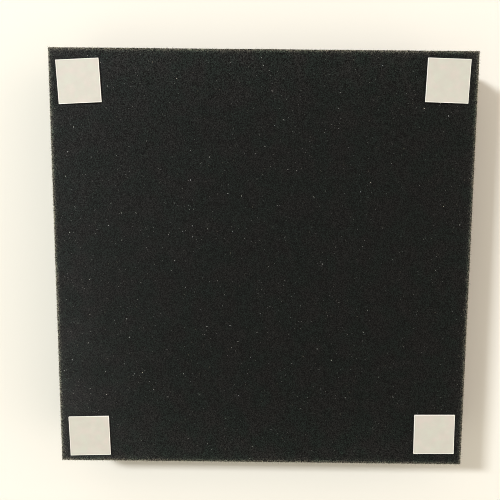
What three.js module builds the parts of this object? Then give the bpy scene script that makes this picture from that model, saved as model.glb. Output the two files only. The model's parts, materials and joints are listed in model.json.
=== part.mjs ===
// Acoustic foam wall tile: one block of open-cell foam with a flat back and wedge ridges on its
// front, and a square of double-sided tape at each corner of the back, each under its own liner.
// Millimetres. The tile lies on its ridge crests with the flat back up: +Z is out of the back,
// +X across the ridges and +Y along them. The origin is under the middle, on the crest plane.
import * as THREE from 'three';

// Foam block
const tileWidth = 304.8;
const tileLength = 304.8;
const tileThickness = 50.8;
const baseThickness = 25.4;
const ridgeCount = 6;
const crestFlat = 2;
const crestRounding = 1.4;
const valleyFlat = 1;
const valleyRounding = 1.5;
const roundingSteps = 4;

// Tape squares, from the foam outwards
const tapeSide = 30.5;
const adhesiveThickness = 0.1;
const tapeCoreThickness = 0.8;
const linerThickness = 0.12;

// Each square is stuck on by hand, so each has its own distances from the tile's two nearest
// edges to its middle, and its own turn in degrees, counter-clockwise seen from behind the tile
const topLeftInsetX = 20.9;
const topLeftInsetY = 22.9;
const topLeftTurn = 3;
const topRightInsetX = 21.4;
const topRightInsetY = 20.3;
const topRightTurn = -1.7;
const bottomLeftInsetX = 21.8;
const bottomLeftInsetY = 20;
const bottomLeftTurn = 1.6;
const bottomRightInsetX = 21.1;
const bottomRightInsetY = 24;
const bottomRightTurn = 0.6;

const corners = [
  {
    name: 'top_left',
    sideX: -1,
    sideY: 1,
    insetX: topLeftInsetX,
    insetY: topLeftInsetY,
    turn: topLeftTurn,
  },
  {
    name: 'top_right',
    sideX: 1,
    sideY: 1,
    insetX: topRightInsetX,
    insetY: topRightInsetY,
    turn: topRightTurn,
  },
  {
    name: 'bottom_left',
    sideX: -1,
    sideY: -1,
    insetX: bottomLeftInsetX,
    insetY: bottomLeftInsetY,
    turn: bottomLeftTurn,
  },
  {
    name: 'bottom_right',
    sideX: 1,
    sideY: -1,
    insetX: bottomRightInsetX,
    insetY: bottomRightInsetY,
    turn: bottomRightTurn,
  },
];

// The layers of one square of tape, in the order in which they lie on the foam
const layers = [
  { name: 'panel_adhesive', thickness: adhesiveThickness, material: adhesiveMaterial },
  { name: 'tape_core', thickness: tapeCoreThickness, material: tapeCoreMaterial },
  { name: 'wall_adhesive', thickness: adhesiveThickness, material: adhesiveMaterial },
  { name: 'release_liner', thickness: linerThickness, material: linerMaterial },
];

function foamMaterial() {
  return new THREE.MeshStandardMaterial({ color: 0x262624, roughness: 0.95, metalness: 0 });
}

function adhesiveMaterial() {
  return new THREE.MeshStandardMaterial({ color: 0xe6e2d4, roughness: 0.15, metalness: 0 });
}

function tapeCoreMaterial() {
  return new THREE.MeshStandardMaterial({ color: 0xf2f0e8, roughness: 0.85, metalness: 0 });
}

function linerMaterial() {
  return new THREE.MeshStandardMaterial({ color: 0xe2dccb, roughness: 0.6, metalness: 0 });
}

function namedMesh(name, geometry, material) {
  const mesh = new THREE.Mesh(geometry, material);
  mesh.name = name;
  return mesh;
}

// The point at a distance from one outline point towards another
function along(from, to, distance) {
  return from.clone().lerp(to, distance / from.distanceTo(to));
}

// An outline through corner points, each rounded off over its own distance
function roundedOutline(points) {
  const shape = new THREE.Shape();
  points.forEach(({ at, rounding }, index) => {
    const before = points[(index + points.length - 1) % points.length].at;
    const after = points[(index + 1) % points.length].at;
    const start = rounding > 0 ? along(at, before, rounding) : at;
    if (index === 0) {
      shape.moveTo(start.x, start.y);
    } else {
      shape.lineTo(start.x, start.y);
    }
    if (rounding > 0) {
      const end = along(at, after, rounding);
      shape.quadraticCurveTo(at.x, at.y, end.x, end.y);
    }
  });
  shape.closePath();
  return shape;
}

// The cross-section, across the ridges: a flat back, and a zigzag front of wedges whose outer
// valleys lie half in this tile and half in the next one on the wall
function foamOutline() {
  const pitch = tileWidth / ridgeCount;
  const firstRidge = (pitch - tileWidth) / 2;
  const valleyHeight = tileThickness - baseThickness;
  const crestReach = crestFlat / 2 + crestRounding;
  const valleyReach = pitch / 2 - valleyFlat / 2 - valleyRounding;
  const corner = (x, y, rounding) => ({ at: new THREE.Vector2(x, y), rounding });
  const points = [
    corner(tileWidth / 2, tileThickness, 0),
    corner(-tileWidth / 2, tileThickness, 0),
    corner(-tileWidth / 2, valleyHeight, 0),
  ];
  for (let ridge = 0; ridge < ridgeCount; ridge += 1) {
    const middle = firstRidge + ridge * pitch;
    points.push(corner(middle - valleyReach, valleyHeight, valleyRounding));
    points.push(corner(middle - crestReach, 0, crestRounding));
    points.push(corner(middle + crestReach, 0, crestRounding));
    points.push(corner(middle + valleyReach, valleyHeight, valleyRounding));
  }
  points.push(corner(tileWidth / 2, valleyHeight, 0));
  return roundedOutline(points);
}

function foamPanel() {
  const geometry = new THREE.ExtrudeGeometry(foamOutline(), {
    depth: tileLength,
    steps: 1,
    curveSegments: roundingSteps,
    bevelEnabled: false,
  });
  geometry.rotateX(Math.PI / 2);
  geometry.translate(0, tileLength / 2, 0);
  return namedMesh('foam_panel', geometry, foamMaterial());
}

// One corner's tape: its layers stacked face to face on the foam's flat back
function tapeSquare(corner) {
  const square = new THREE.Group();
  square.position.set(
    corner.sideX * (tileWidth / 2 - corner.insetX),
    corner.sideY * (tileLength / 2 - corner.insetY),
    tileThickness,
  );
  square.rotation.z = THREE.MathUtils.degToRad(corner.turn);
  let height = 0;
  for (const layer of layers) {
    const geometry = new THREE.BoxGeometry(tapeSide, tapeSide, layer.thickness);
    const mesh = namedMesh(`${layer.name}_${corner.name}`, geometry, layer.material());
    mesh.position.z = height + layer.thickness / 2;
    height += layer.thickness;
    square.add(mesh);
  }
  return square;
}

const tile = new THREE.Group();
tile.add(foamPanel());
for (const corner of corners) {
  tile.add(tapeSquare(corner));
}

export default tile;
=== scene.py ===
import json
import math

import bpy
import numpy as np
from mathutils import Matrix, Vector


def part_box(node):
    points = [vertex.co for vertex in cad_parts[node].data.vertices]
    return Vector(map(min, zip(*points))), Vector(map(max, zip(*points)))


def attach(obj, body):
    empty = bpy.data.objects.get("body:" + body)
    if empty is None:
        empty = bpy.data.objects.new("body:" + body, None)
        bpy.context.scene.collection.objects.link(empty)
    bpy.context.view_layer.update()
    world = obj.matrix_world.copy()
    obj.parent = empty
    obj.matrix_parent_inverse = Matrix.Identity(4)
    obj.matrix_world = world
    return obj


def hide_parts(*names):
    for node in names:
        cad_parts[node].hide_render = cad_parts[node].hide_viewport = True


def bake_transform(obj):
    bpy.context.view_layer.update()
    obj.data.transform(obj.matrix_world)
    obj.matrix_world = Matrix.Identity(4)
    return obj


# Square charcoal foam tile on its wedge ridges, flat back up, a square of tape at each back corner
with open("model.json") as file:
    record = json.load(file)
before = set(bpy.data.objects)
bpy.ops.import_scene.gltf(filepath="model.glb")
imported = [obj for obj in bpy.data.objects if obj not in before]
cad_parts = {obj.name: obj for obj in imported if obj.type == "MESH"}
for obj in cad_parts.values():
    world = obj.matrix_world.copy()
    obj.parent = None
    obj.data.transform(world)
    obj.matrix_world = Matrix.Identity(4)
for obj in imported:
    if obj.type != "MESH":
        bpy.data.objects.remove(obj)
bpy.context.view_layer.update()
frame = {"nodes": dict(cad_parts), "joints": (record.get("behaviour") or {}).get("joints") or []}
scene = bpy.context.scene
mm = 0.001

print("camera")

# Above the tile's middle, a little towards the top of the picture, looking almost straight down
cameraPlan = {
    "lens": 47.16,
    "sensor": 36,
    "place": (0.65 * mm, 50.4 * mm, 530.9 * mm),
    "turn": (-7.381, 0.315, 0.451),  # degrees about X, Y and Z
    "shift": (-0.02, 0.06),
    "nearest": 1 * mm,
}


def makeCamera(plan):
    data = bpy.data.cameras.new("camera")
    data.lens = plan["lens"]
    data.sensor_width = plan["sensor"]
    data.shift_x, data.shift_y = plan["shift"]
    data.clip_start = plan["nearest"]
    camera = bpy.data.objects.new("camera", data)
    camera.location = plan["place"]
    camera.rotation_euler = [math.radians(angle) for angle in plan["turn"]]
    scene.collection.objects.link(camera)
    scene.camera = camera


makeCamera(cameraPlan)

print("light")

# One lamp high up on the left, and a room with soft glows from the right, overhead and the far side
lampPlan = {
    "place": (-2.55, 1.757, 3.65),
    "size": (0.76, 0.4),
    "power": 175.0,
    "colour": (0.936, 0.963, 1.0),
}
roomPlan = {
    "backdrop": (0.7, 0.64, 0.53, 1),  # only what the camera sees past the floor
    "shade": (0.018, 0.028, 0.006, 1),
    "glows": [
        {"from": (1.0, 0.0, 0.0), "sharpness": 5.0, "colour": (2.95, 2.52, 2.3, 1)},
        {"from": (-0.45, -0.42, 0.79), "sharpness": 24.0, "colour": (1.6, 1.59, 1.35, 1)},
        {"from": (-0.3, 0.75, 0.6), "sharpness": 12.0, "colour": (1.39, 1.21, 1.06, 1)},
    ],
}


def makeLamp(plan):
    data = bpy.data.lights.new("lamp", "AREA")
    data.shape = "RECTANGLE"
    data.size, data.size_y = plan["size"]
    data.energy = plan["power"]
    data.color = plan["colour"]
    lamp = bpy.data.objects.new("lamp", data)
    lamp.location = plan["place"]
    back = Vector(plan["place"]).normalized()
    across = (Vector((1, 0, 0)) - back * back.x).normalized()
    lamp.rotation_euler = Matrix((across, back.cross(across), back)).transposed().to_euler()
    scene.collection.objects.link(lamp)


# Node helpers: a value is a number, a vector or another node's output
def feed(tree, socket, value):
    if isinstance(value, bpy.types.NodeSocket):
        tree.links.new(value, socket)
    else:
        socket.default_value = value


def addNode(tree, kind, inputs=(), **settings):
    node = tree.nodes.new(kind)
    for name, value in settings.items():
        setattr(node, name, value)
    for name, value in dict(inputs).items():
        feed(tree, node.inputs[name], value)
    return node


def calc(tree, operation, *values):
    node = addNode(tree, "ShaderNodeMath", operation=operation)
    for socket, value in zip(node.inputs, values):
        feed(tree, socket, value)
    return node.outputs[0]


def multiply(tree, product, *factors):
    for factor in factors:
        product = calc(tree, "MULTIPLY", product, factor)
    return product


def vectorCalc(tree, operation, *values):
    node = addNode(tree, "ShaderNodeVectorMath", operation=operation)
    for socket, value in zip(node.inputs, values):
        if operation == "SCALE" and value is values[-1]:
            socket = node.inputs["Scale"]
        feed(tree, socket, value)
    return node.outputs["Value" if operation == "DOT_PRODUCT" else "Vector"]


def combine(tree, **parts):
    return addNode(tree, "ShaderNodeCombineXYZ", parts).outputs[0]


def split(tree, value):
    return addNode(tree, "ShaderNodeSeparateXYZ", {"Vector": value}).outputs


def splitColour(tree, value):
    return addNode(tree, "ShaderNodeSeparateColor", {"Color": value}).outputs


def remap(tree, value, low, high, toLow=0.0, toHigh=1.0, smooth=False):
    kind = "SMOOTHSTEP" if smooth else "LINEAR"
    node = addNode(tree, "ShaderNodeMapRange", interpolation_type=kind)
    for name, number in zip(("Value", "From Min", "From Max", "To Min", "To Max"),
                            (value, low, high, toLow, toHigh)):
        feed(tree, node.inputs[name], number)
    return node.outputs["Result"]


def mixColour(tree, factor, first, second, blend="MIX"):
    node = addNode(tree, "ShaderNodeMix", data_type="RGBA", blend_type=blend)
    feed(tree, node.inputs["Factor"], factor)
    feed(tree, node.inputs[6], first)
    feed(tree, node.inputs[7], second)
    return node.outputs[2]


# The kinds of socket that a tree made here can have
number, whole, colour = "NodeSocketFloat", "NodeSocketInt", "NodeSocketColor"
vector, geometry, solidMaterial = "NodeSocketVector", "NodeSocketGeometry", "NodeSocketMaterial"


# A node tree with named inputs, and the sockets that its nodes are linked to
def openTree(name, kind, inputs, outputs):
    tree = bpy.data.node_groups.new(name, kind)
    for label, (socketKind, default) in inputs.items():
        socket = tree.interface.new_socket(name=label, in_out="INPUT", socket_type=socketKind)
        if default is not None:
            socket.default_value = default
    for label, socketKind in outputs.items():
        tree.interface.new_socket(name=label, in_out="OUTPUT", socket_type=socketKind)
    start = addNode(tree, "NodeGroupInput")
    return tree, start.outputs, addNode(tree, "NodeGroupOutput")


def makeRoom(plan):
    world = bpy.data.worlds.new("room")
    world.use_nodes = True
    tree = world.node_tree
    direction = addNode(tree, "ShaderNodeTexCoord").outputs["Generated"]
    shade = plan["shade"]
    for glow in plan["glows"]:
        facing = vectorCalc(tree, "DOT_PRODUCT", direction, Vector(glow["from"]).normalized())
        share = calc(tree, "MULTIPLY_ADD", facing, 0.5, 0.5)
        share = calc(tree, "POWER", share, glow["sharpness"])
        shade = mixColour(tree, share, shade, glow["colour"], "ADD")
    seen = addNode(tree, "ShaderNodeLightPath").outputs["Is Camera Ray"]
    shade = mixColour(tree, seen, shade, plan["backdrop"])
    feed(tree, tree.nodes["Background"].inputs["Color"], shade)
    scene.world = world


# Keeps the picture as crisp as a photograph, so that the denoiser leaves the foam's grain alone
def keepGrain():
    scene.view_settings.view_transform = "Standard"
    scene.cycles.denoising_prefilter = "NONE"
    scene.cycles.filter_width = 1.0


makeLamp(lampPlan)
makeRoom(roomPlan)
keepGrain()

print("shared shader groups")

patternPlan = {
    "cellWarp": 0.6,  # how far the cells are pushed out of line, in cells
    "skinFade": (0.5, 0.7),  # a skin fades out between these distances from its middle, in cells
    "cloudDetail": 3.0,
    "cloudRange": (0.3, 0.7),  # the noise's usual least and most
}


# Open cells: struts round dark pores, some pores still closed by a shiny skin
def makeOpenCells(plan):
    tree, given, result = openTree(
        "openCells", "ShaderNodeTree",
        {"Place": (vector, None), "Cell Size": (number, 0.8 * mm), "Strut Share": (number, 0.3),
         "Skin Share": (number, 0.03)},
        {"Struts": number, "Height": number, "Tone": number, "Skins": number, "Shine": number})
    scale = calc(tree, "DIVIDE", 1.0, given["Cell Size"])
    warp = addNode(tree, "ShaderNodeTexNoise",
                   {"Vector": given["Place"], "Scale": scale, "Detail": 1.0})
    push = vectorCalc(tree, "SUBTRACT", warp.outputs["Color"], (0.5, 0.5, 0.5))
    push = vectorCalc(tree, "SCALE", push, calc(tree, "MULTIPLY", given["Cell Size"], plan["cellWarp"]))
    place = vectorCalc(tree, "ADD", given["Place"], push)
    edges = addNode(tree, "ShaderNodeTexVoronoi", {"Vector": place, "Scale": scale},
                    feature="DISTANCE_TO_EDGE")
    cells = addNode(tree, "ShaderNodeTexVoronoi", {"Vector": place, "Scale": scale})
    struts = remap(tree, edges.outputs["Distance"], 0.0, given["Strut Share"], 1.0, 0.0, True)
    chance = splitColour(tree, cells.outputs["Color"])
    closed = calc(tree, "LESS_THAN", chance["Red"], given["Skin Share"])
    centre = remap(tree, cells.outputs["Distance"], *plan["skinFade"], 1.0, 0.0, True)
    skins = calc(tree, "MULTIPLY", closed, centre)
    feed(tree, result.inputs["Struts"], struts)
    feed(tree, result.inputs["Height"], calc(tree, "MAXIMUM", struts, skins))
    feed(tree, result.inputs["Tone"], chance["Green"])
    feed(tree, result.inputs["Shine"], chance["Blue"])
    feed(tree, result.inputs["Skins"], skins)
    return tree


# Slow, cloudy changes of tone
def makePatches(plan):
    tree, given, result = openTree(
        "patches", "ShaderNodeTree",
        {"Place": (vector, None), "Patch Size": (number, 25 * mm), "Amount": (number, 0.1)},
        {"Factor": number, "Tint": colour})
    scale = calc(tree, "DIVIDE", 1.0, given["Patch Size"])
    clouds = addNode(tree, "ShaderNodeTexNoise",
                     {"Vector": given["Place"], "Scale": scale, "Detail": plan["cloudDetail"]})
    low = calc(tree, "SUBTRACT", 1.0, given["Amount"])
    high = calc(tree, "ADD", 1.0, given["Amount"])
    factor = remap(tree, clouds.outputs["Fac"], *plan["cloudRange"], low, high)
    feed(tree, result.inputs["Factor"], factor)
    feed(tree, result.inputs["Tint"], clouds.outputs["Color"])
    return tree


# A painted pool of light, brightest round one spot, with its own reach along each axis
def makeLightPool():
    tree, given, result = openTree(
        "paintedLightPool", "ShaderNodeTree",
        {"Place": (vector, None), "Spot": (vector, None), "Reach": (vector, None)},
        {"Amount": number})
    away = vectorCalc(tree, "SUBTRACT", given["Place"], given["Spot"])
    away = vectorCalc(tree, "DIVIDE", away, given["Reach"])
    far = calc(tree, "ADD", vectorCalc(tree, "DOT_PRODUCT", away, away), 1.0)
    feed(tree, result.inputs["Amount"], calc(tree, "DIVIDE", 1.0, far))
    return tree


openCells = makeOpenCells(patternPlan)
patches = makePatches(patternPlan)
paintedLightPool = makeLightPool()

print("materials")


def newMaterial(name):
    material = bpy.data.materials.new(name)
    material.use_nodes = True
    tree = material.node_tree
    shader = tree.nodes["Principled BSDF"]
    return material, tree, shader


def useGroup(tree, group, **values):
    node = addNode(tree, "ShaderNodeGroup", node_tree=group)
    for name, value in values.items():
        feed(tree, node.inputs[name.replace("_", " ")], value)
    return node.outputs


# What a piece's own attribute holds at a point of its surface
def surfaceValue(tree, name, output):
    return addNode(tree, "ShaderNodeAttribute", attribute_name=name).outputs[output]


# A value that falls off with a distance stored on the piece
def fade(tree, name, distance):
    return calc(tree, "EXPONENT", calc(tree, "DIVIDE", surfaceValue(tree, name, "Fac"), -distance))


def addBumps(tree, shader, height, plan):
    bump = addNode(tree, "ShaderNodeBump", {
        "Strength": plan["bumpStrength"], "Distance": plan["bumpDepth"], "Height": height})
    feed(tree, shader.inputs["Normal"], bump.outputs["Normal"])


foamFinish = {
    "pore": (0.0002, 0.0003, 0.0003, 1),
    "strut": (0.0021, 0.0027, 0.0024, 1),
    # painted glint: the light that closed skins reflect, painted as a near-white colour
    "paintedGlint": (0.85, 0.85, 0.83, 1),
    "cellSize": 0.43 * mm,
    "strutShare": 0.35,
    "skinShare": 0.002,
    "skinClumps": (0.3, 1.9),  # how much the share of skins varies from place to place
    "faintSkin": 0.115,
    "skinSpread": -0.75,
    "tonePeak": 7.8,  # the lightest struts, in strut colours
    "toneContrast": 3.0,
    "patchSize": 16 * mm,
    "patchAmount": 0.06,
    "cool": (0.83, 1.06, 0.95, 1),
    "warm": (1.2, 0.95, 0.98, 1),
    "cloudRange": (0.4, 0.6),  # the noise behind the tint and the clumps, from least to most
    # painted light: the back's left side, most round a spot near the bottom left, is painted lighter,
    # with more painted glints
    "lightPool": (0.0105, 0.0105, 0.0112, 1),
    "lightPoolSpot": (-165 * mm, -125 * mm, 50 * mm),
    "lightPoolReach": (45 * mm, 125 * mm, 100 * mm),
    "lightPoolGain": 0.45,
    "lightPoolGlints": 1.0,
    "lightPoolUneven": (0.8, 1.2),
    "lightPoolRange": (0.35, 0.65),  # the noise behind the painted pool of light, from least to most
    "edgeTint": (1.3, 0.96, 0.77, 1),
    "edgeGain": 34.0,
    "edgeFade": 0.6 * mm,
    "rimGain": 1.8,
    "rimFade": 1.6 * mm,
    "wideGain": 0.3,
    "wideFade": 20 * mm,
    "endGain": 0.9,
    "endFade": 26 * mm,
    # painted shade beside the tape
    "tapeShadeAmount": 0.6,
    "tapeShadeFade": 0.5 * mm,
    "specular": 0.178,
    "roughness": 0.9,
    "glossRoughness": 0.38,
    "glossPeak": 0.6,  # from here on a strut has all its gloss
    "dullTones": (0.3, 0.8),  # cells toned below the first don't shine, above the second all do
    "skinRoughness": 0.25,
    "bumpStrength": 0.5,
    "bumpDepth": 0.05 * mm,
}


# Painted light: the foam is painted lighter along its cut edges, where light comes in from two sides,
# in a wider band along them, and towards its two ends
def paintedEdgeLight(tree, plan):
    light = 1.0
    for reach in ("edge", "rim", "wide", "end"):
        stored = "endDistance" if reach == "end" else "edgeDistance"
        near = fade(tree, stored, plan[reach + "Fade"])
        light = calc(tree, "MULTIPLY_ADD", near, plan[reach + "Gain"], light)
    return light


# Painted shade: the foam is painted darker right beside the tape
def paintedTapeShade(tree, plan):
    pressed = fade(tree, "tapeDistance", plan["tapeShadeFade"])
    return calc(tree, "SUBTRACT", 1.0, calc(tree, "MULTIPLY", pressed, plan["tapeShadeAmount"]))


def foamLightPool(tree, plan, place, cloud):
    uneven = remap(tree, cloud, *plan["lightPoolRange"], *plan["lightPoolUneven"])
    lightPool = useGroup(tree, paintedLightPool, Place=place, Spot=plan["lightPoolSpot"], Reach=plan["lightPoolReach"])
    return calc(tree, "MULTIPLY", lightPool["Amount"], uneven)


def foamTint(tree, plan, cloud):
    tint = mixColour(tree, remap(tree, cloud, *plan["cloudRange"]), plan["cool"], plan["warm"])
    return mixColour(tree, fade(tree, "edgeDistance", plan["rimFade"]), tint, plan["edgeTint"])


# Painted glints: a few skins are painted fully bright, and many more only faintly
def paintedSkinGlint(tree, plan, cells):
    shine = calc(tree, "POWER", cells["Shine"], plan["skinSpread"])
    shine = calc(tree, "MINIMUM", calc(tree, "MULTIPLY", shine, plan["faintSkin"]), 1.0)
    return calc(tree, "MULTIPLY", cells["Skins"], shine)


def foamRoughness(tree, plan, cells):
    lively = remap(tree, cells["Tone"], *plan["dullTones"])
    lively = calc(tree, "MULTIPLY", cells["Struts"], lively)
    gloss = remap(tree, lively, 0.0, plan["glossPeak"], plan["roughness"], plan["glossRoughness"])
    return remap(tree, cells["Skins"], 0.0, 1.0, gloss, plan["skinRoughness"])


def makeFoamMaterial(plan):
    material, tree, shader = newMaterial("charcoalFoam")
    place = addNode(tree, "ShaderNodeTexCoord").outputs["Object"]
    clouds = useGroup(tree, patches, Place=place, Patch_Size=plan["patchSize"],
                      Amount=plan["patchAmount"])
    cloud = splitColour(tree, clouds["Tint"])
    lightPool = foamLightPool(tree, plan, place, cloud["Green"])
    clump = remap(tree, cloud["Blue"], *plan["cloudRange"], *plan["skinClumps"])
    # more painted glints inside the painted pool of light
    clump = calc(tree, "MULTIPLY_ADD", lightPool, plan["lightPoolGlints"], clump)
    cells = useGroup(tree, openCells, Place=place, Cell_Size=plan["cellSize"],
                     Strut_Share=plan["strutShare"],
                     Skin_Share=calc(tree, "MULTIPLY", clump, plan["skinShare"]))
    bright = calc(tree, "POWER", cells["Tone"], plan["toneContrast"])
    tone = multiply(tree, bright, plan["tonePeak"], clouds["Factor"], paintedEdgeLight(tree, plan),
                    paintedTapeShade(tree, plan), calc(tree, "MULTIPLY_ADD", lightPool, plan["lightPoolGain"], 1.0))
    base = mixColour(tree, cells["Struts"], plan["pore"], plan["strut"])
    base = mixColour(tree, 1.0, base, tone, "MULTIPLY")
    base = mixColour(tree, 1.0, base, foamTint(tree, plan, cloud["Red"]), "MULTIPLY")
    base = mixColour(tree, lightPool, base, plan["lightPool"], "ADD")
    # the skins' glints are painted into the base colour
    base = mixColour(tree, paintedSkinGlint(tree, plan, cells), base, plan["paintedGlint"])
    feed(tree, shader.inputs["Base Color"], base)
    feed(tree, shader.inputs["Roughness"], foamRoughness(tree, plan, cells))
    shader.inputs["Specular IOR Level"].default_value = plan["specular"]
    addBumps(tree, shader, cells["Height"], plan)
    return material


paperFinish = {
    "face": (0.53, 0.515, 0.457, 1),
    "cool": (0.515, 0.525, 0.457, 1),
    "warm": (0.555, 0.515, 0.465, 1),
    "coolRange": (0.35, 0.65),
    "warmRange": (0.45, 0.7),
    "underside": (0.62, 0.58, 0.46, 1),
    # painted highlight: a bright rim along the liner's cut edges
    "rim": (0.92, 0.915, 0.87, 1),
    "rimWidth": 0.55 * mm,
    "patchSize": 7 * mm,
    "patchAmount": 0.03,
    "fibreSize": 0.25 * mm,
    "fibreDetail": 4.0,
    "roughness": 0.5,
    "undersideRoughness": 0.22,
    "bumpStrength": 0.5,
    "bumpDepth": 0.02 * mm,
}


def makePaperMaterial(plan, side, thickness):
    material, tree, shader = newMaterial("linerPaper")
    pattern = surfaceValue(tree, "patternPlace", "Vector")
    clouds = useGroup(tree, patches, Place=pattern, Patch_Size=plan["patchSize"],
                      Amount=plan["patchAmount"])
    cloud = splitColour(tree, clouds["Tint"])
    base = mixColour(tree, remap(tree, cloud["Red"], *plan["coolRange"]), plan["face"], plan["cool"])
    base = mixColour(tree, remap(tree, cloud["Green"], *plan["warmRange"]), base, plan["warm"])
    base = mixColour(tree, 1.0, base, clouds["Factor"], "MULTIPLY")
    at = split(tree, surfaceValue(tree, "sheetPlace", "Vector"))
    # a painted highlight along the cut edges
    reach = calc(tree, "MAXIMUM", calc(tree, "ABSOLUTE", at["X"]), calc(tree, "ABSOLUTE", at["Y"]))
    rim = remap(tree, reach, side / 2 - plan["rimWidth"], side / 2, 0.0, 1.0, True)
    base = mixColour(tree, rim, base, plan["rim"])
    under = calc(tree, "LESS_THAN", at["Z"], thickness / 2)
    base = mixColour(tree, under, base, plan["underside"])
    feed(tree, shader.inputs["Base Color"], base)
    feed(tree, shader.inputs["Roughness"],
         remap(tree, under, 0.0, 1.0, plan["roughness"], plan["undersideRoughness"]))
    fibres = addNode(tree, "ShaderNodeTexNoise", {
        "Vector": pattern, "Scale": 1 / plan["fibreSize"], "Detail": plan["fibreDetail"]})
    addBumps(tree, shader, fibres.outputs["Fac"], plan)
    return material


adhesiveFinish = {
    "clear": (0.58, 0.57, 0.51, 1),
    "milky": (0.66, 0.65, 0.61, 1),
    "blisterSize": 1.1 * mm,
    "seamShare": 0.2,
    "blisterShare": 0.3,
    "roughness": 0.12,
    "blisterRoughness": 0.3,
    "bumpStrength": 0.5,
    "bumpDepth": 0.03 * mm,
}


def makeAdhesiveMaterial(plan):
    material, tree, shader = newMaterial("acrylicAdhesive")
    cells = useGroup(tree, openCells, Place=surfaceValue(tree, "patternPlace", "Vector"),
                     Cell_Size=plan["blisterSize"], Strut_Share=plan["seamShare"],
                     Skin_Share=plan["blisterShare"])
    base = mixColour(tree, cells["Struts"], plan["clear"], plan["milky"])
    feed(tree, shader.inputs["Base Color"], base)
    feed(tree, shader.inputs["Roughness"],
         remap(tree, cells["Skins"], 0.0, 1.0, plan["roughness"], plan["blisterRoughness"]))
    addBumps(tree, shader, cells["Height"], plan)
    return material


coreFinish = {
    "wall": (0.88, 0.87, 0.83, 1),
    "pore": (0.62, 0.61, 0.57, 1),
    "cellSize": 0.16 * mm,
    "wallShare": 0.35,
    "closedShare": 0.5,
    "roughness": 0.85,
    "bumpStrength": 0.6,
    "bumpDepth": 0.05 * mm,
}


def makeCoreMaterial(plan):
    material, tree, shader = newMaterial("closedCellTape")
    cells = useGroup(tree, openCells, Place=surfaceValue(tree, "patternPlace", "Vector"),
                     Cell_Size=plan["cellSize"], Strut_Share=plan["wallShare"],
                     Skin_Share=plan["closedShare"])
    base = mixColour(tree, cells["Height"], plan["pore"], plan["wall"])
    feed(tree, shader.inputs["Base Color"], base)
    shader.inputs["Roughness"].default_value = plan["roughness"]
    addBumps(tree, shader, cells["Height"], plan)
    return material


floorFinish = {
    "colour": (0.80, 0.785, 0.72, 1),
    "roughness": 0.8,
    "size": 30.0,
}


def makeFloor(plan):
    mesh = bpy.data.meshes.new("floor")
    half = plan["size"] / 2
    outline = [(-half, -half, 0), (half, -half, 0), (half, half, 0), (-half, half, 0)]
    mesh.from_pydata(outline, [], [(0, 1, 2, 3)])
    floor = bpy.data.objects.new("floor", mesh)
    scene.collection.objects.link(floor)
    material, tree, shader = newMaterial("paleTable")
    shader.inputs["Base Color"].default_value = plan["colour"]
    shader.inputs["Roughness"].default_value = plan["roughness"]
    mesh.materials.append(material)


makeFloor(floorFinish)

# How far each square of tape lies from its place in the frame, in millimetres
tapeDrift = {
    "top_left": (-0.11, 0.36),
    "top_right": (-0.19, -0.23),
    "bottom_left": (0.28, -0.07),
    "bottom_right": (0.33, -0.47),
}


# A corner's own axes, from its peel joint: X away from the hinge, Z out of the back
def cornerPlan(corner):
    joint = next(j for j in frame["joints"] if j["name"] == "peel_" + corner)
    hinge = Vector(joint["pos_m"])
    outward = Vector((0, 0, 1)).cross(Vector(joint["axis"])).normalized()
    along = Vector((0, 0, 1)).cross(outward)
    node = frame["nodes"]["release_liner_" + corner]
    reach = [(v.co - hinge).dot(outward) for v in node.data.vertices]
    side = max(reach) - min(reach)
    middle = hinge + outward * side / 2 + Vector((*tapeDrift[corner], 0)) * mm
    turn = Matrix((outward, along, (0, 0, 1))).transposed().to_4x4()
    return {"hinge": hinge, "outward": outward, "along": along, "side": side, "middle": middle,
            "turn": turn}


corners = {name: cornerPlan(name) for name in tapeDrift}

print("foam tile")


# Runs a geometry tree with the given inputs and returns its result as a plain mesh object
def growPiece(name, tree, values, base=None):
    mesh = base.data.copy() if base else bpy.data.meshes.new(name)
    piece = bpy.data.objects.new(name, mesh)
    scene.collection.objects.link(piece)
    modifier = piece.modifiers.new("shape", "NODES")
    modifier.node_group = tree
    for item in tree.interface.items_tree:
        if item.in_out == "INPUT" and item.name in values:
            modifier[item.identifier] = values[item.name]
    depsgraph = bpy.context.evaluated_depsgraph_get()
    grown = bpy.data.meshes.new_from_object(piece.evaluated_get(depsgraph), depsgraph=depsgraph)
    piece.modifiers.clear()
    piece.data = grown
    grown.name = name
    return piece


# Geometry helpers, where each field is worked out for the mesh as it is at that step
def position(tree):
    return addNode(tree, "GeometryNodeInputPosition").outputs[0]


def moveMesh(tree, mesh, **place):
    return addNode(tree, "GeometryNodeSetPosition", {"Geometry": mesh, **place}).outputs[0]


def storeField(tree, mesh, name, value, kind="FLOAT", domain="POINT"):
    return addNode(tree, "GeometryNodeStoreNamedAttribute",
                   {"Geometry": mesh, "Name": name, "Value": value},
                   data_type=kind, domain=domain).outputs[0]


def readField(tree, name):
    return addNode(tree, "GeometryNodeInputNamedAttribute", {"Name": name},
                   data_type="FLOAT").outputs["Attribute"]


def closeTree(tree, result, mesh, material):
    mesh = addNode(tree, "GeometryNodeRealizeInstances", {"Geometry": mesh}).outputs[0]
    mesh = addNode(tree, "GeometryNodeSetMaterial",
                   {"Geometry": mesh, "Material": material}).outputs[0]
    feed(tree, result.inputs["Geometry"], mesh)


foamLow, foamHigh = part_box("foam_panel")
foamSize = foamHigh - foamLow

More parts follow.
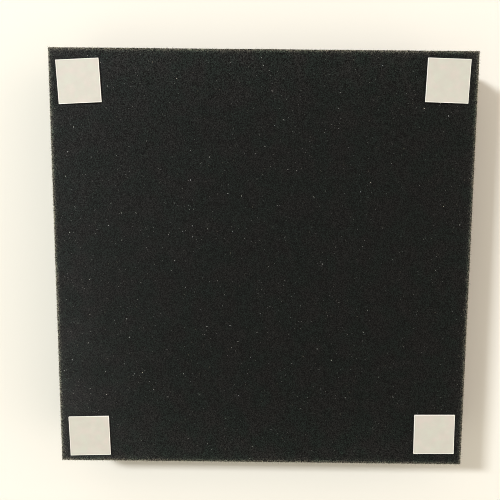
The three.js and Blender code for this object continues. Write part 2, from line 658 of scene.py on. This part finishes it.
foamPlan = {
    "ridges": 6,
    "baseThickness": 25.4 * mm,
    "crestFlat": 2 * mm,
    "crestRounding": 1.4 * mm,
    "valleyFlat": 1 * mm,
    "valleyRounding": 1.5 * mm,
    "step": 1.05 * mm,  # between neighbouring points of the surface
    "rowsUp": 36,
    "cellSize": 1.3 * mm,
    "pitDepth": 0.3 * mm,
    "pitRange": (0.15, 0.75),  # a pit rises between these distances from its middle, in cells
    "backPitShare": 0.15,  # the back is cut flat by a blade, so its pits are shallower
    "backFacing": (0.5, 0.9),  # how far up a face looks, from not at all the back to fully
    "edgeWear": 0.2 * mm,  # how far the cut edges crumble
    "edgeReach": 3 * mm,
    "bow": 0.3 * mm,
    "bowScale": 18.0,  # waves of the bow in a metre
    "bowDetail": 2.0,
    "swell": 0.75 * mm,
    "seed": 4.0,
    "moatDepth": 0.45 * mm,  # the foam dips beside the tape pressed onto it
    "moatWidth": 0.9 * mm,
    "backLayer": 6.35 * mm,  # what lies this near the back dips, the sides below it don't
    "tapeReach": 10 * mm,  # how far from the tape the distance to it is measured
}
# How far each corner of the block was cut from where it should be, in millimetres
cornerDrift = {
    (-1, 1): (-0.23, 0.42),
    (1, 1): (-0.33, -0.29),
    (-1, -1): (0.46, 0.39),
    (1, -1): (0.25, -0.1),
}


# How high the front lies above the crest plane: wedges, rounded at their crests and valleys
def wedgeHeight(tree, given, across):
    pitch = calc(tree, "DIVIDE", given["Width"], given["Ridges"])
    halfPitch = calc(tree, "DIVIDE", pitch, 2.0)
    fromSide = calc(tree, "ADD", across, calc(tree, "DIVIDE", given["Width"], 2.0))
    fromValley = calc(tree, "PINGPONG", fromSide, halfPitch)
    valleyReach = calc(tree, "MULTIPLY_ADD", given["Valley Flat"], 0.5, given["Valley Rounding"])
    crestReach = calc(tree, "MULTIPLY_ADD", given["Crest Flat"], 0.5, given["Crest Rounding"])
    crestStart = calc(tree, "SUBTRACT", halfPitch, crestReach)
    valleyHeight = calc(tree, "SUBTRACT", given["Thickness"], given["Base Thickness"])
    fall = calc(tree, "DIVIDE", valleyHeight, calc(tree, "SUBTRACT", crestStart, valleyReach))
    height = calc(tree, "MULTIPLY", calc(tree, "SUBTRACT", crestStart, fromValley), fall)
    height = calc(tree, "SMOOTH_MAX", height, 0.0, given["Crest Rounding"])
    return calc(tree, "SMOOTH_MIN", height, valleyHeight, given["Valley Rounding"])


# How near a point is to the block's cut edges, which is the second smallest of its distances to
# the sides, the ends and the faces, and how near it is to the ends
def cutDistances(tree, given, front):
    at = split(tree, position(tree))
    toSide = calc(tree, "SUBTRACT", calc(tree, "DIVIDE", given["Width"], 2.0),
                  calc(tree, "ABSOLUTE", at["X"]))
    toEnd = calc(tree, "SUBTRACT", calc(tree, "DIVIDE", given["Length"], 2.0),
                 calc(tree, "ABSOLUTE", at["Y"]))
    toBack = calc(tree, "SUBTRACT", given["Thickness"], at["Z"])
    toFront = calc(tree, "SUBTRACT", at["Z"], front)
    toFace = calc(tree, "MINIMUM", toBack, toFront)
    toEdge = calc(tree, "MINIMUM", calc(tree, "MAXIMUM", toSide, toEnd),
                  calc(tree, "MAXIMUM", toFace, calc(tree, "MINIMUM", toSide, toEnd)))
    return toEdge, toEnd


# Pits, crumbled edges and a slight bow, all inwards from a block that swells a little sideways
def foamWear(tree, given, plan, toEdge):
    place = position(tree)
    cells = addNode(tree, "ShaderNodeTexVoronoi",
                    {"Vector": place, "W": given["Seed"],
                     "Scale": calc(tree, "DIVIDE", 1.0, given["Cell Size"])},
                    voronoi_dimensions="4D")
    pit = remap(tree, cells.outputs["Distance"], *plan["pitRange"], 1.0, 0.0, True)
    grain = addNode(tree, "ShaderNodeTexWhiteNoise", {"Vector": place, "W": given["Seed"]},
                    noise_dimensions="4D").outputs["Value"]
    edge = remap(tree, toEdge, 0.0, given["Edge Reach"], 1.0, 0.0)
    wear = multiply(tree, calc(tree, "POWER", edge, 2.0), grain, given["Edge Wear"])
    waves = addNode(tree, "ShaderNodeTexNoise",
                    {"Vector": place, "W": given["Seed"], "Scale": plan["bowScale"],
                     "Detail": plan["bowDetail"]},
                    noise_dimensions="4D").outputs[0]
    sag = calc(tree, "MULTIPLY", waves, given["Bow"])
    normal = addNode(tree, "GeometryNodeInputNormal").outputs[0]
    share = remap(tree, split(tree, normal)["Z"], *plan["backFacing"], 1.0, given["Back Pit Share"])
    depth = calc(tree, "MULTIPLY", given["Pit Depth"], share)
    inward = calc(tree, "ADD", calc(tree, "MULTIPLY_ADD", pit, depth, wear), sag)
    offset = vectorCalc(tree, "SCALE", normal, calc(tree, "MULTIPLY", inward, -1.0))
    sideways = combine(tree, X=given["Swell"], Y=given["Swell"])
    return vectorCalc(tree, "ADD", offset, vectorCalc(tree, "MULTIPLY", normal, sideways))


def makeFoamTree(plan):
    tree, given, result = openTree(
        "wedgeFoam", "GeometryNodeTree",
        {"Width": (number, 300 * mm), "Length": (number, 300 * mm), "Thickness": (number, 50 * mm),
         "Base Thickness": (number, 25 * mm), "Ridges": (whole, 6),
         "Crest Flat": (number, 2 * mm), "Crest Rounding": (number, 1.4 * mm),
         "Valley Flat": (number, 1 * mm), "Valley Rounding": (number, 1.5 * mm),
         "Columns": (whole, 100), "Rows": (whole, 100), "Rows Up": (whole, 10),
         "Cell Size": (number, 1 * mm), "Pit Depth": (number, 0.3 * mm),
         "Back Pit Share": (number, 0.5), "Edge Wear": (number, 0.5 * mm),
         "Edge Reach": (number, 3 * mm), "Bow": (number, 0.3 * mm), "Swell": (number, 0.4 * mm),
         "Seed": (number, 0.0), "Material": (solidMaterial, None)},
        {"Geometry": geometry})
    # A block of unit height, then squeezed between the wedges and the flat back
    block = addNode(tree, "GeometryNodeMeshCube", {
        "Size": combine(tree, X=given["Width"], Y=given["Length"], Z=1.0),
        "Vertices X": given["Columns"], "Vertices Y": given["Rows"],
        "Vertices Z": given["Rows Up"]}).outputs["Mesh"]
    at = split(tree, position(tree))
    front = wedgeHeight(tree, given, at["X"])
    share = calc(tree, "ADD", at["Z"], 0.5)
    room = calc(tree, "SUBTRACT", given["Thickness"], front)
    height = calc(tree, "MULTIPLY_ADD", share, room, front)
    block = moveMesh(tree, block, Position=combine(tree, X=at["X"], Y=at["Y"], Z=height))
    toEdge, toEnd = cutDistances(tree, given, front)
    block = storeField(tree, block, "edgeDistance", toEdge)
    block = storeField(tree, block, "endDistance", toEnd)
    block = moveMesh(tree, block, Offset=foamWear(tree, given, plan, toEdge))
    block = addNode(tree, "GeometryNodeSetShadeSmooth", {"Geometry": block}).outputs[0]
    closeTree(tree, result, block, given["Material"])
    return tree


def makeFoamTile(plan, material):
    values = {
        "Width": foamSize.x, "Length": foamSize.y, "Thickness": foamSize.z,
        "Base Thickness": plan["baseThickness"], "Ridges": plan["ridges"],
        "Crest Flat": plan["crestFlat"], "Crest Rounding": plan["crestRounding"],
        "Valley Flat": plan["valleyFlat"], "Valley Rounding": plan["valleyRounding"],
        "Columns": round(foamSize.x / plan["step"]), "Rows": round(foamSize.y / plan["step"]),
        "Rows Up": plan["rowsUp"], "Cell Size": plan["cellSize"], "Pit Depth": plan["pitDepth"],
        "Back Pit Share": plan["backPitShare"], "Edge Wear": plan["edgeWear"],
        "Edge Reach": plan["edgeReach"], "Bow": plan["bow"], "Swell": plan["swell"],
        "Seed": plan["seed"], "Material": material,
    }
    return growPiece("foam_tile", makeFoamTree(plan), values)


# Moves the block's corners to where they were cut
def shiftCorners(points):
    share = points[:, :2] / (foamSize.x / 2, foamSize.y / 2)
    for (sideX, sideY), drift in cornerDrift.items():
        weight = (1 + sideX * share[:, 0]) * (1 + sideY * share[:, 1]) / 4
        points[:, :2] += weight[:, None] * np.array(drift) * mm


# Lays the back flat under the tape and dips it beside the tape, and gives the distance from it
def pressTape(points, plan):
    away = np.full(len(points), plan["tapeReach"], np.float32)
    onBack = points[:, 2] > foamHigh.z - plan["backLayer"]
    for corner in corners.values():
        reach = points[:, :2] - np.array(corner["middle"].xy)
        axes = (np.array(corner["outward"].xy), np.array(corner["along"].xy))
        beyond = [np.maximum(np.abs(reach @ axis) - corner["side"] / 2, 0) for axis in axes]
        away = np.where(onBack, np.minimum(away, np.hypot(*beyond)), away)
    pressed = np.exp(-((away / plan["moatWidth"]) ** 2))
    under = away == 0
    points[:, 2] -= np.where(onBack & ~under, pressed * plan["moatDepth"], 0)
    points[:, 2] = np.where(under & onBack, foamHigh.z, points[:, 2])
    return away.astype(np.float32)


def fitFoam(foam, plan):
    mesh = foam.data
    points = np.empty((len(mesh.vertices), 3), np.float32)
    mesh.vertices.foreach_get("co", points.ravel())
    shiftCorners(points)
    away = pressTape(points, plan)
    mesh.vertices.foreach_set("co", points.ravel())
    stored = mesh.attributes.new("tapeDistance", "FLOAT", "POINT")
    stored.data.foreach_set("value", away)
    mesh.update()


foamTile = makeFoamTile(foamPlan, makeFoamMaterial(foamFinish))
fitFoam(foamTile, foamPlan)
print("foam tile faces", len(foamTile.data.polygons))

print("loose strands")

fuzzPlan = {
    "length": 1.5 * mm,
    "radius": 0.045 * mm,
    "sizes": (0.35, 1.2),  # the smallest and the largest strand, in strands
    "sides": 3,
    "segments": 2,
    "bend": 0.5,  # how far the tip curls over, in lengths
    "edgeDensity": 6.0e6,  # strands on a square metre, at the cut edges
    "edgeFade": 0.6 * mm,
    "faceDensity": 1.0e4,
    "clearance": 25.3 * mm,  # none lower than this, on the ridges that the tile rests on
    "spread": 1.1,
    "drag": (-0.3, -0.8, 0.0),  # the way the blade drew them
    "seed": 11,
    "toneSeed": 12,
}


# Sockets 0 and 1 take a random vector's limits, and 2 and 3 a random number's
def randomVector(tree, seed, low, high):
    node = addNode(tree, "FunctionNodeRandomValue", {"Seed": seed, 0: low, 1: high},
                   data_type="FLOAT_VECTOR")
    return node.outputs[0]


def randomNumber(tree, seed, low, high):
    node = addNode(tree, "FunctionNodeRandomValue", {"Seed": seed, 2: low, 3: high},
                   data_type="FLOAT")
    return node.outputs[1]


# Many at the cut edges and few elsewhere, none on the ridges or touching the tape
def strandDensity(tree, given):
    near = calc(tree, "DIVIDE", readField(tree, "edgeDistance"),
                calc(tree, "MULTIPLY", given["Edge Fade"], -1.0))
    density = calc(tree, "MULTIPLY", calc(tree, "EXPONENT", near), given["Edge Density"])
    density = calc(tree, "ADD", density, given["Face Density"])
    clear = calc(tree, "GREATER_THAN", split(tree, position(tree))["Z"], given["Clearance"])
    beside = calc(tree, "GREATER_THAN", readField(tree, "tapeDistance"), given["Length"])
    return multiply(tree, density, clear, beside)


# One strand: a thin cone along Z, bent over towards X
def bentStrand(tree, given, plan):
    strand = addNode(tree, "GeometryNodeMeshCone", {
        "Vertices": plan["sides"], "Side Segments": plan["segments"], "Radius Top": 0.0,
        "Radius Bottom": given["Radius"], "Depth": given["Length"]}).outputs["Mesh"]
    along = split(tree, position(tree))["Z"]
    bend = calc(tree, "DIVIDE", calc(tree, "POWER", along, 2.0), given["Length"])
    bend = calc(tree, "MULTIPLY", bend, plan["bend"])
    return moveMesh(tree, strand, Offset=combine(tree, X=bend))


def makeFuzzTree(plan):
    tree, given, result = openTree(
        "looseStrands", "GeometryNodeTree",
        {"Geometry": (geometry, None), "Length": (number, 0.8 * mm), "Radius": (number, 0.05 * mm),
         "Edge Density": (number, 1e6), "Edge Fade": (number, 0.6 * mm),
         "Face Density": (number, 1e4), "Clearance": (number, 1.5 * mm), "Spread": (number, 1.0),
         "Drag": (vector, None), "Seed": (whole, 1), "Tone Seed": (whole, 2),
         "Material": (solidMaterial, None)},
        {"Geometry": geometry})
    roots = addNode(tree, "GeometryNodeDistributePointsOnFaces", {
        "Mesh": given["Geometry"], "Density": strandDensity(tree, given), "Seed": given["Seed"]})
    low = vectorCalc(tree, "SCALE", (-1.0, -1.0, -1.0), given["Spread"])
    high = vectorCalc(tree, "SCALE", (1.0, 1.0, 1.0), given["Spread"])
    lean = randomVector(tree, given["Seed"], low, high)
    towards = vectorCalc(tree, "ADD", roots.outputs["Normal"], lean)
    towards = vectorCalc(tree, "ADD", towards, given["Drag"])
    turn = addNode(tree, "FunctionNodeAlignRotationToVector", {"Vector": towards}, axis="Z")
    strands = addNode(tree, "GeometryNodeInstanceOnPoints", {
        "Points": roots.outputs["Points"], "Instance": bentStrand(tree, given, plan),
        "Rotation": turn.outputs["Rotation"],
        "Scale": randomNumber(tree, given["Seed"], *plan["sizes"])}).outputs[0]
    tone = randomNumber(tree, given["Tone Seed"], 0.0, 1.0)
    strands = storeField(tree, strands, "strandTone", tone, domain="INSTANCE")
    closeTree(tree, result, strands, given["Material"])
    return tree


def makeFuzz(plan, material):
    values = {
        "Length": plan["length"], "Radius": plan["radius"], "Edge Density": plan["edgeDensity"],
        "Edge Fade": plan["edgeFade"], "Face Density": plan["faceDensity"],
        "Clearance": plan["clearance"], "Spread": plan["spread"], "Drag": plan["drag"],
        "Seed": plan["seed"], "Tone Seed": plan["toneSeed"], "Material": material,
    }
    return growPiece("foam_strands", makeFuzzTree(plan), values, base=foamTile)


strandFinish = {
    "dark": (0.02, 0.018, 0.014, 1),
    "light": (0.5, 0.455, 0.35, 1),
    "contrast": 2.0,
    "specular": 0.2,
    "roughness": 0.5,
}


def makeStrandMaterial(plan):
    material, tree, shader = newMaterial("foamStrand")
    tone = calc(tree, "POWER", surfaceValue(tree, "strandTone", "Fac"), plan["contrast"])
    feed(tree, shader.inputs["Base Color"], mixColour(tree, tone, plan["dark"], plan["light"]))
    shader.inputs["Specular IOR Level"].default_value = plan["specular"]
    shader.inputs["Roughness"].default_value = plan["roughness"]
    return material


foamStrands = makeFuzz(fuzzPlan, makeStrandMaterial(strandFinish))
print("strand faces", len(foamStrands.data.polygons))

print("tape squares")

tapePlan = {
    "points": 49,
    "thinRows": 2,
    "coreRows": 7,
    "linerWave": 0.06 * mm,
    "waveScale": 60.0,  # waves in a metre
    "cornerLift": 0.18 * mm,
    "liftPower": 5.0,  # the higher, the nearer to the corner the lift begins
    "filmWander": 0.35 * mm,
    "coreWander": 0.12 * mm,
    "wanderScale": 300.0,  # waves of the edge in a metre
    "corePinch": 0.12 * mm,
    "curl": 8 * mm,  # the stretch of liner that bends as it peels
    "seedStep": 3.7,
}


# How much a layer's edge shrinks: it wanders inwards and is pinched in at mid height
def layerShrink(tree, given, plan, place, half):
    waves = addNode(tree, "ShaderNodeTexNoise",
                    {"Vector": place, "W": given["Seed"], "Scale": plan["wanderScale"],
                     "Detail": 3.0},
                    noise_dimensions="4D").outputs[0]
    fromMiddle = calc(tree, "DIVIDE", calc(tree, "ABSOLUTE", split(tree, place)["Z"]),
                      given["Thickness"])
    pinch = calc(tree, "MULTIPLY", remap(tree, fromMiddle, 0.0, 0.5, 1.0, 0.0), given["Edge Pinch"])
    inset = calc(tree, "MULTIPLY_ADD", waves, given["Edge Wander"], pinch)
    return calc(tree, "SUBTRACT", 1.0, calc(tree, "DIVIDE", inset, half))


# How high a layer's points lie: it waves, and its two corners away from the hinge lift
def layerRise(tree, given, plan, at, half, flatHeight):
    waves = addNode(tree, "ShaderNodeTexNoise",
                    {"Vector": combine(tree, X=at["X"], Y=at["Y"]), "W": given["Seed"],
                     "Scale": plan["waveScale"], "Detail": 1.0},
                    noise_dimensions="4D").outputs[0]
    outward = calc(tree, "DIVIDE", calc(tree, "MAXIMUM", at["X"], 0.0), half)
    corner = calc(tree, "MULTIPLY", outward,
                  calc(tree, "DIVIDE", calc(tree, "ABSOLUTE", at["Y"]), half))
    lift = calc(tree, "MULTIPLY", calc(tree, "POWER", corner, plan["liftPower"]),
                given["Corner Lift"])
    return calc(tree, "MULTIPLY_ADD", waves, given["Wave"], calc(tree, "ADD", lift, flatHeight))


def makeLayerTree(plan):
    tree, given, result = openTree(
        "tapeLayer", "GeometryNodeTree",
        {"Side": (number, 30 * mm), "Thickness": (number, 0.1 * mm), "Points": (whole, 20),
         "Rows": (whole, 2), "Edge Wander": (number, 0.0), "Edge Pinch": (number, 0.0),
         "Wave": (number, 0.0), "Corner Lift": (number, 0.0), "Seed": (number, 0.0),
         "Material": (solidMaterial, None)},
        {"Geometry": geometry})
    layer = addNode(tree, "GeometryNodeMeshCube", {
        "Size": combine(tree, X=given["Side"], Y=given["Side"], Z=given["Thickness"]),
        "Vertices X": given["Points"], "Vertices Y": given["Points"],
        "Vertices Z": given["Rows"]}).outputs["Mesh"]
    place = position(tree)
    at = split(tree, place)
    half = calc(tree, "DIVIDE", given["Side"], 2.0)
    flatHeight = calc(tree, "MULTIPLY_ADD", given["Thickness"], 0.5, at["Z"])
    flat = combine(tree, X=at["X"], Y=at["Y"], Z=flatHeight)
    layer = storeField(tree, layer, "sheetPlace", flat, "FLOAT_VECTOR")
    shift = combine(tree, X=given["Seed"], Y=given["Seed"])
    layer = storeField(tree, layer, "patternPlace", vectorCalc(tree, "ADD", flat, shift),
                       "FLOAT_VECTOR")
    shrink = layerShrink(tree, given, plan, place, half)
    rise = layerRise(tree, given, plan, at, half, flatHeight)
    layer = moveMesh(tree, layer, Position=combine(
        tree, X=calc(tree, "MULTIPLY", at["X"], shrink), Y=calc(tree, "MULTIPLY", at["Y"], shrink),
        Z=rise))
    closeTree(tree, result, layer, given["Material"])
    return tree


def makeLayer(name, node, corner, tree, values):
    low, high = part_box(node)
    piece = growPiece(name, tree, {"Side": corner["side"], "Thickness": high.z - low.z, **values})
    middle = corner["middle"]
    piece.data.transform(Matrix.Translation((middle.x, middle.y, low.z)) @ corner["turn"])
    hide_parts(node)
    return piece


def makeTapeSquares(plan):
    tree = makeLayerTree(plan)
    film = {"Material": makeAdhesiveMaterial(adhesiveFinish), "Rows": plan["thinRows"],
            "Edge Wander": plan["filmWander"]}
    core = {"Material": makeCoreMaterial(coreFinish), "Rows": plan["coreRows"],
            "Edge Wander": plan["coreWander"], "Edge Pinch": plan["corePinch"]}
    low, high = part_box("release_liner_top_left")
    paper = makePaperMaterial(paperFinish, corners["top_left"]["side"], high.z - low.z)
    liner = {"Material": paper, "Rows": plan["thinRows"], "Wave": plan["linerWave"],
             "Corner Lift": plan["cornerLift"]}
    shared = {"Points": plan["points"], "Seed": 0.0}
    for name, corner in corners.items():
        shared["Seed"] += plan["seedStep"]
        for side in ("panel_adhesive", "wall_adhesive"):
            piece = makeLayer(side + "_film_" + name, side + "_" + name, corner, tree,
                              {**shared, **film})
            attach(piece, "panel")
        piece = makeLayer("tape_foam_" + name, "tape_core_" + name, corner, tree,
                          {**shared, **core})
        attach(piece, "panel")
        piece = makeLayer("liner_paper_" + name, "release_liner_" + name, corner, tree,
                          {**shared, **liner})
        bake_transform(piece)


makeTapeSquares(tapePlan)

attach(foamStrands, "panel")
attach(foamTile, "panel")
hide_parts("foam_panel")

print("done")
